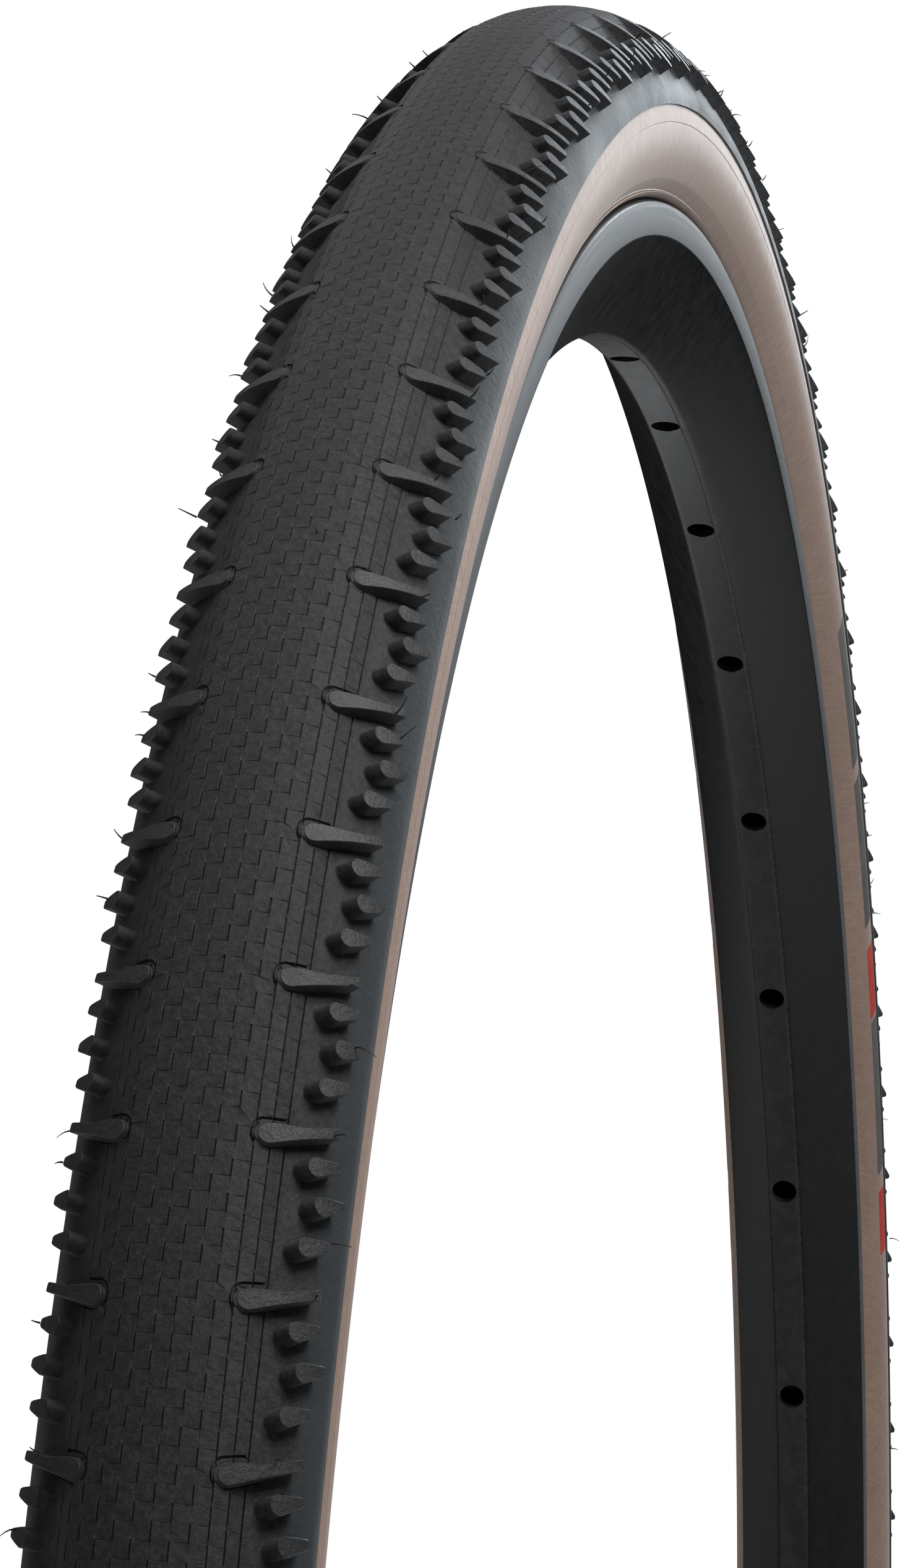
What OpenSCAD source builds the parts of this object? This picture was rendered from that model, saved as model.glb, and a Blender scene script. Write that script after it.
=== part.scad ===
// Gravel bicycle tyre, seated on its tubeless rim with tape and valve.
// The wheel's axle is the Y axis and its centre is the origin. +Z is up.
// The right side is -Y, the left side is +Y. The valve is at the bottom.
// A cross-section is drawn as [distance from the axle, distance along the axle].

/* [Tyre] */
// Radius of the circle that the casing's middle runs on
casing_centre_r = 329.4; // [329:0.1:330]
// Radius of the casing's round cross-section
casing_r = 18; // [18:0.1:18.2]
// Radius of the circle that the tread crown's middle runs on
crown_centre_r = 328.27; // [328:0.1:328.6]
// Radius of the round cross-section through the knob tops
crown_r = 21.33; // [21.2:0.1:21.6]
// Thickness of the sidewall skin and of the puncture belt
skin_t = 0.5; // [0.5:0.05:0.55]
// Thickness of one casing ply
ply_t = 0.4; // [0.35:0.05:0.4]
// Thickness of the airtight liner
liner_t = 0.3; // [0.2:0.05:0.3]
// Angle from the crown to the belt's edge, about the casing's middle
belt_edge = 50; // [44:1:54]
// Angle from the crown to the tread's edge, about the casing's middle
tread_edge = 78.8; // [76:0.2:80]

/* [Tread] */
// Number of times that the knob pattern repeats round the tyre
knob_pitches = 100; // [60:1:100]
// Angle from +X to the first long knob
knob_phase = 2.52; // [0:0.1:3.5]
// Lean of every knob from the straight crosswise line
knob_slant = 19; // [10:1:24]
// Radius of a knob's rounded inner end
knob_nose_r = 1.35; // [1.1:0.05:1.4]
// Half width of a knob at its outer end
knob_tail_w = 0.95; // [0.7:0.05:1.1]
// Depth that the tread falls below the knob tops at the shoulder
shoulder_drop = 2.3; // [2:0.1:2.4]

/* [Rim] */
// Radius of the rim's outer edge
flange_r = 317; // [317:0.1:317.5]
// Half of the rim's outside width
rim_half_w = 14.3; // [14.2:0.1:14.8]
// Half of the width between the rim's flanges
inner_half_w = 11.3; // [11.3:0.05:11.4]
// Radius of the rim's inner edge
rim_nose_r = 293.8; // [292:0.1:294]
// Number of spoke holes
spoke_holes = 36; // [24:4:36]
// Diameter of a spoke hole
spoke_hole_d = 5.5; // [4.5:0.1:6]
// Diameter of the access hole in the tyre bed
access_hole_d = 8.4; // [8:0.1:8.8]

/* [Valve] */
// Diameter of the valve stem
stem_d = 6; // [6:0.05:6.1]
// Distance from the axle to the end of the valve stem
stem_end_r = 266; // [264:0.5:268]
// Diameter of the lock nut over its knurl
lock_nut_d = 12; // [11:0.5:13]
// Outside diameter of the valve cap
cap_d = 7.8; // [7.8:0.1:8.4]

/* [Hidden] */

$fn = 72;
ring_fn = 256;
section_fn = 96;
tiny = 0.01;

// Casing layers, counted inwards from the skin
ply_outer = casing_r - skin_t;
ply_middle = ply_outer - ply_t;
ply_inner = ply_middle - ply_t;
liner_inner = ply_inner - liner_t;
// Angle about the casing's middle at which the round casing ends above the rim
casing_end = 120.7;

// Tread base: level with the crown out to crown_flat, then down by shoulder_drop
crown_flat = 7;
shoulder_start = 17;

// Knobs: arc length from the crown's middle to the nose and to the tail, and the
// angle round the wheel from the long knob's nose to each other knob's nose
long_nose = 9.95;
long_tail = 20.5;
inner_nose = 16.9;
inner_tail = 20.7;
outer_nose = 18.5;
outer_tail = 22.3;
inner_knob_angles = [0.41, 2.19];
outer_knob_angle = 1.2;
knob_root = casing_r + 0.15;
knob_reach = 8;

// Bead seat and bed of the rim
seat_r = 311;
seat_edge = 6.9;
hump_r = 311.4;
hump_edge = 6.3;
channel_edge = 4.6;
channel_r = 307.6;
tape_t = 0.3;
track_foot_r = 310.8;
track_foot_w = rim_half_w - 0.14;
rim_wall = 1.6;
nose_half_w = 3.3;
nose_round = 1.5;
flange_round = (rim_half_w - inner_half_w) / 2;

// Bead: its outer face, its foot on the tape and its core
bead_face = inner_half_w - 0.1;
bead_foot_r = seat_r + tape_t + 0.1;
bead_toe = 7.2;
core_r = 1.1;
core_at = [313.4, 9.2];

// Outlines below casing_end, from the casing down to the bead
skin_leg = [[318.3, 13.4], [317.3, 12], [316.6, bead_face]];
outer_ply_leg = [[318.75, 13.1], [317.7, 11.65], [316.9, 10.7]];
split_leg = [[319.05, 12.85], [318.05, 11.45], [317.2, 10.3]];
inner_split_leg = [[319.05, 12.4], [317.35, 9.6], [316.2, 8.1]];
inner_ply_leg = [[319.3, 11.9], [317.6, 9.2], [316.4, 7.7]];
liner_leg = [[319.6, 11.7], [317.9, 9], [316.7, 7.7]];
ply_foot_r = 312.1;

// Valve, as distances from the axle along the valve's axis
base_r = 4.1;
base_top_r = 5.5;
root_r = 312.3;
root_flange_r = 4;
bore_r = 2;
core_head_r = 260;
core_neck_r = 262;
core_step_r = 272;
core_foot_r = 278;
pin_r = 0.9;
pin_tip_r = 253.9;
pin_foot_r = 280.6;
core_nut_r = 2;
core_nut_near = 254.6;
core_nut_far = 257.8;
lock_nut_far = 292.1;
lock_nut_h = 4;
ring_section = 0.8;
cap_skirt_r = 270;
cap_tip_r = 250.4;
cap_wall_end = 1.4;
running_gap = 0.06;

tread_black = [0.07, 0.07, 0.08];
skin_tan = [0.69, 0.57, 0.5];
cord_cream = [0.8, 0.76, 0.66];
carbon_black = [0.05, 0.05, 0.06];

// Point on a circle about the casing's middle
function casing_point(radius, angle) =
    [casing_centre_r + radius * cos(angle), radius * sin(angle)];

function smooth(t) = let (u = min(max(t, 0), 1)) u * u * (3 - 2 * u);

function reversed(points) = [for (i = [len(points) - 1 : -1 : 0]) points[i]];

// Tread base: depth below the crown circle at an arc length from the middle
function tread_drop(arc) =
    shoulder_drop * smooth((arc - crown_flat) / (shoulder_start - crown_flat));

// Distance from the casing's middle to the crown circle at an angle
function crown_reach(angle) =
    let (shift = crown_centre_r - casing_centre_r)
    shift * cos(angle) + sqrt(crown_r * crown_r - pow(shift * sin(angle), 2));

function tread_reach(angle) =
    let (arc = abs(angle) * PI / 180 * crown_r, edge = abs(angle) / tread_edge)
    max(crown_reach(angle) - tread_drop(arc), casing_r + 0.45 * smooth((1 - edge) * 6));

// Turn a cross-section about the axle
module wheel_ring() {
    rotate([90, 0, 0]) rotate_extrude($fn = ring_fn) children();
}

module at_angle(angle) {
    rotate([0, -angle, 0]) children();
}

module left_side() {
    mirror([0, 1, 0]) children();
}

// Region between two angles about the casing's middle, on one side
module sector(from, to) {
    reach = 60;
    polygon([
        [casing_centre_r, 0],
        for (angle = [from : (to - from) / 6 : to + tiny]) casing_point(reach, angle)
    ]);
}

module casing_disc(radius) {
    translate([casing_centre_r, 0]) circle(r = radius, $fn = section_fn);
}

// Round part of a casing layer, on both sides of the crown
module casing_arc(outer, inner, edge) {
    difference() {
        casing_disc(outer);
        casing_disc(inner);
        open_bottom(edge);
    }
}

// Everything further from the crown than an angle over 90
module open_bottom(edge) {
    reach = 60;
    polygon([
        [casing_centre_r, 0],
        casing_point(reach, edge),
        [casing_centre_r - 4 * reach, reach],
        [casing_centre_r - 4 * reach, -reach],
        casing_point(reach, -edge)
    ]);
}

// Part of a layer below the round casing, on one side
module layer_leg(outer, outer_points, inner, inner_points) {
    polygon(concat(
        [casing_point(outer, casing_end)], outer_points,
        reversed(inner_points), [casing_point(inner, casing_end)]
    ));
}

module both_sides() {
    children();
    mirror([0, 1]) children();
}

module tread_cap() {
    color(tread_black) wheel_ring() difference() {
        polygon([
            casing_point(casing_r - 1, -tread_edge),
            for (angle = [-tread_edge : tread_edge / 18 : tread_edge + tiny])
                casing_point(tread_reach(angle), angle),
            casing_point(casing_r - 1, tread_edge),
            [casing_centre_r, 0]
        ]);
        casing_disc(casing_r);
    }
}

// Shape of a knob seen square on: a round nose, then a body that narrows to a
// straight tail. It leans by the slant about the nose.
module knob_outline(nose_at, tail_at) {
    rotate(-knob_slant) union() {
        circle(r = knob_nose_r, $fn = 24);
        polygon([
            [0, knob_nose_r], [tail_at - nose_at, knob_tail_w],
            [tail_at - nose_at, -knob_tail_w], [0, -knob_nose_r]
        ]);
    }
}

// One right-hand knob in the plane at angle 0: the outline, driven square into the
// tread at the knob's middle, and kept between the tread's root and the crown circle
module knob(nose, tail) {
    middle = (nose + tail) / 2;
    tilt = middle / crown_r * 180 / PI;
    nose_offset = -crown_r * sin((middle - nose) / crown_r * 180 / PI);
    mirror([0, 1, 0]) intersection() {
        linear_extrude(height = 2 * knob_reach, center = true) difference() {
            translate([crown_centre_r, 0]) circle(r = crown_r, $fn = section_fn);
            casing_disc(knob_root);
        }
        translate([crown_centre_r, 0, 0]) rotate([0, 0, tilt]) rotate([90, 0, 90])
            translate([nose_offset, 0, 14]) linear_extrude(height = 9)
                knob_outline(nose, tail);
    }
}

module knob_row(nose, tail, offsets) {
    color(tread_black)
        for (i = [0 : knob_pitches - 1]) for (offset = offsets)
            at_angle(knob_phase + i * 360 / knob_pitches + offset) knob(nose, tail);
}

module long_knobs_right() { knob_row(long_nose, long_tail, [0]); }
module long_knobs_left() { left_side() long_knobs_right(); }
module inner_knobs_right() { knob_row(inner_nose, inner_tail, inner_knob_angles); }
module inner_knobs_left() { left_side() inner_knobs_right(); }
module outer_knobs_right() { knob_row(outer_nose, outer_tail, [outer_knob_angle]); }
module outer_knobs_left() { left_side() outer_knobs_right(); }

module puncture_belt() {
    color("goldenrod") wheel_ring() intersection() {
        difference() {
            casing_disc(casing_r);
            casing_disc(ply_outer);
        }
        sector(-belt_edge, belt_edge);
    }
}

module outer_ply() {
    color(cord_cream) wheel_ring() {
        casing_arc(ply_outer, ply_middle, casing_end);
        both_sides() layer_leg(
            ply_outer, concat(outer_ply_leg, [[ply_foot_r, 10.7]]),
            ply_middle, concat(split_leg, [[ply_foot_r, 10.3]])
        );
    }
}

module inner_ply() {
    color(cord_cream) wheel_ring() {
        casing_arc(ply_middle, ply_inner, casing_end);
        both_sides() layer_leg(
            ply_middle, concat(inner_split_leg, [[ply_foot_r, 8.1]]),
            ply_inner, concat(inner_ply_leg, [[ply_foot_r, 7.7]])
        );
    }
}

module inner_liner() {
    color("dimgray") wheel_ring() {
        casing_arc(ply_inner, liner_inner, casing_end);
        both_sides() layer_leg(ply_inner, inner_ply_leg, liner_inner, liner_leg);
    }
}

// wheel_ring turns a section above the axis on to the right side, and mirrored to the left
module sidewall_left() {
    color(skin_tan) wheel_ring() mirror([0, 1]) sidewall_section();
}

module sidewall_right() {
    color(skin_tan) wheel_ring() sidewall_section();
}

module sidewall_section() {
    intersection() {
        difference() {
            casing_disc(casing_r);
            casing_disc(ply_outer);
        }
        sector(belt_edge, casing_end);
    }
    layer_leg(casing_r, skin_leg, ply_outer, outer_ply_leg);
}

module bead_core_section() {
    translate(core_at) circle(r = core_r, $fn = 32);
}

module bead_core_right() {
    color("khaki") wheel_ring() bead_core_section();
}

module bead_core_left() {
    color("khaki") wheel_ring() mirror([0, 1]) bead_core_section();
}

// Rubber that fills the space between the plies above the bead core
module bead_filler_section() {
    difference() {
        polygon(concat(
            [casing_point(ply_middle, casing_end)], split_leg, [[core_at[0], 10.3]],
            [[core_at[0], 8.1]], reversed(inner_split_leg)
        ));
        bead_core_section();
    }
}

module bead_filler_right() {
    color("black") wheel_ring() bead_filler_section();
}

module bead_filler_left() {
    color("black") wheel_ring() mirror([0, 1]) bead_filler_section();
}

// Woven strip that wraps the bead and rubs on the rim
module bead_strip_section() {
    polygon([
        [316.6, bead_face], [bead_foot_r, bead_face], [bead_foot_r, bead_toe],
        [316.4, bead_toe], inner_ply_leg[2], [ply_foot_r, 7.7], [ply_foot_r, 10.7],
        outer_ply_leg[2]
    ]);
}

module bead_strip_right() {
    color("saddlebrown") wheel_ring() bead_strip_section();
}

module bead_strip_left() {
    color("saddlebrown") wheel_ring() mirror([0, 1]) bead_strip_section();
}

// Plain bars pressed on to both sidewalls, in one group on the upper rear
module sidewall_labels() {
    label_t = 0.08;
    bar_spans = [[19.2, 2.8], [22.8, 7], [30, 3.3], [34.4, 7.2], [42.4, 7.4]];
    color("slategray") for (span = bar_spans) for (flip = [0, 1])
        rotate([90, 0, 0]) mirror([0, 0, flip]) rotate([0, 0, span[0]])
            rotate_extrude(angle = span[1], $fn = ring_fn) intersection() {
                difference() {
                    casing_disc(casing_r + label_t);
                    casing_disc(casing_r);
                }
                sector(88, 104);
            }
}

function mirrored(points) = [for (p = reversed(points)) [p[0], -p[1]]];

// Tyre bed from the flange to the channel, lifted by a thickness
function bed_half(lift) = [
    [seat_r + lift, inner_half_w],
    [seat_r + lift, seat_edge],
    [hump_r + lift, hump_edge],
    [channel_r + lift, channel_edge - 0.6 * lift]
];

function arc_points(centre, radius, from, to, steps) = [
    for (i = [0 : steps]) let (a = from + (to - from) * i / steps)
        [centre[0] + radius * cos(a), centre[1] + radius * sin(a)]
];

module rim_section() {
    foot = [track_foot_r, track_foot_w];
    flange_centre = [flange_r - flange_round, rim_half_w - flange_round];
    flank_lean = atan2(track_foot_w - nose_half_w, track_foot_r - rim_nose_r);
    edge_centre = [rim_nose_r + nose_round, nose_half_w - 0.5 * nose_round];
    outer_half = concat(
        arc_points(flange_centre, flange_round, -90, 90, 8), [foot],
        arc_points(edge_centre, nose_round, 90 + flank_lean, 180, 4)
    );
    cavity_top = seat_r - rim_wall - 0.2;
    inside_half = [
        [channel_r - rim_wall, channel_edge - 0.1], [cavity_top, seat_edge],
        [cavity_top, inner_half_w], [rim_nose_r + rim_wall, nose_half_w - 0.2]
    ];
    bed = concat(bed_half(0), mirrored(bed_half(0)));
    difference() {
        polygon(concat(outer_half, mirrored(outer_half), reversed(bed)));
        polygon(concat(inside_half, mirrored(inside_half)));
    }
}

module rim() {
    color(carbon_black) difference() {
        wheel_ring() rim_section();
        for (i = [0 : spoke_holes - 1]) at_angle((i + 0.5) * 360 / spoke_holes) {
            radial_hole(rim_nose_r - 4, 10, spoke_hole_d);
            radial_hole(channel_r - 4, 8, access_hole_d);
        }
        at_angle(270) radial_hole(rim_nose_r - 4, 24, stem_d + 0.5);
    }
}

module radial_hole(from_r, length, d) {
    translate([from_r, 0, 0]) rotate([0, 90, 0]) cylinder(d = d, h = length);
}

module rim_tape() {
    under = bed_half(0);
    over = bed_half(tape_t);
    color("gold") difference() {
        wheel_ring() polygon(concat(under, mirrored(under), reversed(mirrored(over)),
            reversed(over)));
        at_angle(270) radial_hole(channel_r - 2, 6, stem_d + 0.1);
    }
}

// Place a piece on the valve's axis: local z runs from the tyre towards the axle
module on_valve(from_r) {
    translate([0, 0, -from_r]) children();
}

module valve_base() {
    foot_r = channel_r + tape_t;
    color("black") difference() {
        union() {
            on_valve(foot_r + 2.6) cylinder(r1 = base_top_r, r2 = base_r, h = 2.6);
            on_valve(root_r) cylinder(r = base_top_r, h = root_r - foot_r - 2.6);
        }
        on_valve(root_r + 1) cylinder(d = stem_d, h = 8);
        on_valve(root_r + 1) cylinder(r = root_flange_r, h = 2);
    }
}

module valve_stem() {
    color("silver") difference() {
        union() {
            on_valve(root_r) cylinder(d = stem_d, h = root_r - stem_end_r);
            on_valve(root_r) cylinder(r = root_flange_r, h = 1);
        }
        on_valve(root_r + 1) cylinder(r = bore_r, h = root_r - stem_end_r + 2);
    }
}

module valve_core_body() {
    flat_w = 4.5;
    head_r = 2.6;
    spring_r = 1.5;
    color("goldenrod") difference() {
        union() {
            on_valve(core_foot_r) cylinder(r = bore_r, h = core_foot_r - stem_end_r);
            on_valve(stem_end_r) intersection() {
                cylinder(r = head_r, h = stem_end_r - core_head_r);
                translate([-head_r, -flat_w / 2, 0])
                    cube([2 * head_r, flat_w, stem_end_r - core_head_r]);
            }
        }
        on_valve(core_foot_r + 1) cylinder(r = pin_r + running_gap, h = 20);
        on_valve(core_step_r) cylinder(r = spring_r, h = core_step_r - core_neck_r);
    }
}

module valve_pin() {
    collar_r = 1.35;
    color("gold") {
        on_valve(pin_foot_r) cylinder(r = pin_r, h = pin_foot_r - pin_tip_r);
        on_valve(core_neck_r + 1) cylinder(r = collar_r, h = 0.9);
        on_valve(pin_foot_r) cylinder(r = collar_r, h = 0.8);
    }
}

module valve_seal() {
    seal_r = 1.6;
    seal_near = core_foot_r + 0.05;
    seal_far = pin_foot_r - 0.8;
    color("black") on_valve(seal_far) difference() {
        cylinder(r = seal_r, h = seal_far - seal_near);
        translate([0, 0, -1]) cylinder(r = pin_r, h = 5);
    }
}

// Light coil that holds the pin up
module valve_spring() {
    coil_r = 1.17;
    wire_r = 0.12;
    turns = 7;
    steps = 14;
    sides = 6;
    low = wire_r;
    travel = core_step_r - core_neck_r - 1 - 2 * wire_r;
    rings = turns * steps;
    points = [
        for (i = [0 : rings]) let (turn = i * 360 / steps, rise = low + travel * i / rings)
            for (k = [0 : sides - 1]) let (a = k * 360 / sides, out = coil_r + wire_r * cos(a))
                [out * cos(turn), out * sin(turn), rise + wire_r * sin(a)]
    ];
    walls = [
        for (i = [0 : rings - 1]) for (k = [0 : sides - 1]) let (next = (k + 1) % sides)
            [i * sides + k, i * sides + next, (i + 1) * sides + next, (i + 1) * sides + k]
    ];
    caps = [
        [for (k = [sides - 1 : -1 : 0]) k],
        [for (k = [0 : sides - 1]) rings * sides + k]
    ];
    color("silver") on_valve(core_step_r) polyhedron(points, concat(walls, caps));
}

// Cylinder with round flutes cut along it
module knurled(radius, height, flutes, flute_r) {
    difference() {
        cylinder(r = radius, h = height);
        for (i = [0 : flutes - 1]) rotate([0, 0, i * 360 / flutes])
            translate([radius + flute_r * 0.5, 0, -1])
                cylinder(r = flute_r, h = height + 2, $fn = 16);
    }
}

module valve_nut() {
    color("gold") on_valve(core_nut_far) difference() {
        knurled(core_nut_r, core_nut_far - core_nut_near, 12, 0.3);
        translate([0, 0, -1]) cylinder(r = pin_r + running_gap, h = 6);
    }
}

module lock_nut() {
    color("dimgray") on_valve(lock_nut_far) difference() {
        knurled(lock_nut_d / 2, lock_nut_h, 24, 0.6);
        translate([0, 0, -1]) cylinder(r = stem_d / 2 + running_gap, h = lock_nut_h + 2);
    }
}

// Rubber ring between the lock nut and the rim
module lock_ring() {
    color("black") on_valve(lock_nut_far + ring_section) rotate_extrude()
        translate([stem_d / 2 + 0.1 + ring_section, 0]) circle(r = ring_section, $fn = 24);
}

module valve_cap() {
    length = cap_skirt_r - cap_tip_r;
    skirt = 5;
    tip_d = 6.4;
    core_room = 5.6;
    color([0.12, 0.12, 0.13]) on_valve(cap_skirt_r) difference() {
        union() {
            cylinder(d = cap_d, h = skirt);
            translate([0, 0, skirt]) cylinder(d1 = cap_d - 0.8, d2 = tip_d, h = length - skirt);
        }
        translate([0, 0, -1]) cylinder(d = stem_d + 2 * running_gap, h = skirt + 1);
        cylinder(d = core_room, h = length - cap_wall_end);
    }
}

tread_cap();
long_knobs_left();
long_knobs_right();
inner_knobs_left();
inner_knobs_right();
outer_knobs_left();
outer_knobs_right();
puncture_belt();
outer_ply();
inner_ply();
inner_liner();
sidewall_left();
sidewall_right();
bead_core_left();
bead_core_right();
bead_filler_left();
bead_filler_right();
bead_strip_left();
bead_strip_right();
sidewall_labels();
rim();
rim_tape();
valve_base();
valve_stem();
valve_core_body();
valve_pin();
valve_seal();
valve_spring();
valve_nut();
lock_nut();
lock_ring();
valve_cap();
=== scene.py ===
"""Gravel bicycle tyre on its rim: the looks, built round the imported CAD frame.

The wheel's axle is the Y axis, +Z is up, the right side is -Y and the valve is at the
bottom. Lengths in this script are millimetres until a mesh is made, then metres.
A cross-section point is (distance from the axle, distance along the axle).
"""
import math
import random

import bpy
import numpy as np
from mathutils import Matrix, Vector
from mathutils.geometry import delaunay_2d_cdt


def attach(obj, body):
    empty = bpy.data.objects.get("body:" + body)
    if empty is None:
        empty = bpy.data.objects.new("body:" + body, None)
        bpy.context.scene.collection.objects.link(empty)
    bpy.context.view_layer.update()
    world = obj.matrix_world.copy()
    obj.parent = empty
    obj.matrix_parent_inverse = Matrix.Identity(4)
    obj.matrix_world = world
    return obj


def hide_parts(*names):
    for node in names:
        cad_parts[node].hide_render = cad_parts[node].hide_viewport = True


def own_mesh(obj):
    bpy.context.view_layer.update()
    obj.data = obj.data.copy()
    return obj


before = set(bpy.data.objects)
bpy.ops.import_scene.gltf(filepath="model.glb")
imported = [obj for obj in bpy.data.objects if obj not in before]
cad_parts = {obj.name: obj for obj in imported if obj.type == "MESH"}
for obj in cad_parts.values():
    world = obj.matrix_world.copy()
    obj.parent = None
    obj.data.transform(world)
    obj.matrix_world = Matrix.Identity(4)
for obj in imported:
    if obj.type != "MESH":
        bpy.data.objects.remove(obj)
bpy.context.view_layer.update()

MM = 0.001
DEG = math.pi / 180

# Tyre
CASING_CENTRE_R = 329.4
CASING_R = 18.0
SKIN_T = 0.5
CROWN_CENTRE_R = 328.27
CROWN_R = 21.33
TREAD_EDGE = 78.8
EDGE_REACH = CASING_R + 0.38
CROWN_FLAT = 7.0
# Metres from the wheel's middle plane between which the smoother rubber, painted lighter and
# bluer as a painted reflection, begins
SHOULDER_SHEEN_BAND = (0.0152, 0.0172)
SHOULDER_START = 17.0
SHOULDER_DROP = 2.3

# Knob pattern
PITCHES = 100
KNOB_PHASE = 2.52
KNOB_SLANT = 19 * DEG
PITCHES_IN_TILE = 4
TILE_ANGLE = 360 / PITCHES * PITCHES_IN_TILE

# Fine crown grooves: a staircase that repeats 19 times in a tile
STAIRS_IN_TILE = 19
STAIR_COLUMN = 2.3
STAIR_FIRST = -12.9
STAIR_COLUMNS = 11
# Half width and depth of each kind of groove
CROSS_GROOVE = (0.12, 0.1)
ROUND_GROOVE = (0.16, 0.3)
HOOF_GROOVE = (0.2, 0.45)
MOAT_GROOVE = (0.26, 0.5)
# Past this arc on the right side the lines round the wheel leave short gaps only
LONG_LINES_FROM = 7.5
LONG_LINE_SHARE = 0.84
SHORT_LINE_SHARE = 0.5

# Rim
FLANGE_R = 317.0
RIM_HALF_W = 14.3
INNER_HALF_W = 11.3
SEAT_R = 311.0
CHANNEL_R = 307.6
RIM_WALL = 1.6
RIM_NOSE_R = 293.8
NOSE_HALF_W = 3.3
NOSE_ROUND = 1.5
TRACK_FOOT = (310.8, 14.16)
SPOKE_HOLES = 36
SPOKE_HOLE_R = 2.75
ACCESS_HOLE_R = 4.2
VALVE_HOLE_R = 3.25
VALVE_ANGLE = 270
TAPE_T = 0.3
# The ground band, painted a lighter grey that is partly a painted reflection: where it starts
# and ends from the axle, and how far out it lies
TRACK_INSIDE = 0.31095
TRACK_OUTSIDE = 0.3164
TRACK_HALF_W = 0.0138

# Label bars: the angle each starts at, the angle it spans and whether it is red
LABEL_BARS = [(19.2, 2.8, True), (22.8, 7, False), (30, 3.3, True), (34.4, 7.2, False),
              (42.4, 7.4, False)]

RING_STEPS = 720
HOLE_SIDES = 32

# Colour sockets of a Mix node
MIX_FIRST, MIX_SECOND, MIX_RESULT = 6, 7, 2


# ---- node helpers

class Paint:
    """A procedural material, built socket by socket on a Principled shader."""

    def __init__(self, name, colour, roughness, metallic=0.0, specular=0.5):
        self.material = bpy.data.materials.new(name)
        self.material.use_nodes = True
        self.tree = self.material.node_tree
        self.shader = self.tree.nodes["Principled BSDF"]
        self.shader.inputs["Base Color"].default_value = (*colour, 1)
        self.shader.inputs["Roughness"].default_value = roughness
        self.shader.inputs["Metallic"].default_value = metallic
        self.shader.inputs["Specular IOR Level"].default_value = specular
        self.place = self.node("ShaderNodeTexCoord").outputs["Object"]
        self.last_normal = None

    def node(self, kind, **settings):
        made = self.tree.nodes.new(kind)
        for key, value in settings.items():
            setattr(made, key, value)
        return made

    def join(self, source, target):
        self.tree.links.new(source, target)

    def feed(self, value, socket):
        """Give a socket a number, a colour or another socket's output."""
        if isinstance(value, tuple):
            socket.default_value = (*value, 1)
        elif isinstance(value, (int, float)):
            socket.default_value = value
        else:
            self.join(value, socket)

    def maths(self, operation, *values):
        made = self.node("ShaderNodeMath", operation=operation)
        for socket, value in zip(made.inputs, values):
            self.feed(value, socket)
        return made.outputs[0]

    def times(self, first, second):
        return self.maths("MULTIPLY", first, second)

    def noise(self, scale, detail=4.0, roughness=0.6, at=None, distortion=0.0):
        made = self.node("ShaderNodeTexNoise")
        made.inputs["Scale"].default_value = scale
        made.inputs["Detail"].default_value = detail
        made.inputs["Roughness"].default_value = roughness
        made.inputs["Distortion"].default_value = distortion
        self.join(at or self.place, made.inputs["Vector"])
        return made.outputs["Fac"]

    def spread(self, value, low, high, to_low=0.0, to_high=1.0):
        made = self.node("ShaderNodeMapRange", clamp=True)
        self.join(value, made.inputs["Value"])
        for socket, number in zip(made.inputs[1:5], (low, high, to_low, to_high)):
            socket.default_value = number
        return made.outputs[0]

    def mix(self, factor, first, second):
        """Blend of two colours, each a tuple or a socket."""
        made = self.node("ShaderNodeMix", data_type="RGBA")
        self.join(factor, made.inputs["Factor"])
        self.feed(first, made.inputs[MIX_FIRST])
        self.feed(second, made.inputs[MIX_SECOND])
        return made.outputs[MIX_RESULT]

    def colour(self, source):
        self.join(source, self.shader.inputs["Base Color"])

    def roughness(self, source):
        self.join(source, self.shader.inputs["Roughness"])

    def bump(self, height, strength, distance):
        made = self.node("ShaderNodeBump")
        made.inputs["Strength"].default_value = strength
        made.inputs["Distance"].default_value = distance
        self.join(height, made.inputs["Height"])
        if self.last_normal:
            self.join(self.last_normal, made.inputs["Normal"])
        self.last_normal = made.outputs["Normal"]
        self.join(self.last_normal, self.shader.inputs["Normal"])

    def wheel_place(self):
        """(angle round the wheel in radians, distance from the axle, place along it)."""
        parts = self.node("ShaderNodeSeparateXYZ")
        self.join(self.place, parts.inputs[0])
        x, y, z = parts.outputs
        angle = self.maths("ARCTAN2", z, x)
        reach = self.maths("SQRT", self.maths("ADD", self.times(x, x), self.times(z, z)))
        return angle, reach, y

    def vector(self, x, y, z):
        made = self.node("ShaderNodeCombineXYZ")
        for socket, value in zip(made.inputs, (x, y, z)):
            self.feed(value, socket)
        return made.outputs[0]


# ---- materials

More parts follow.
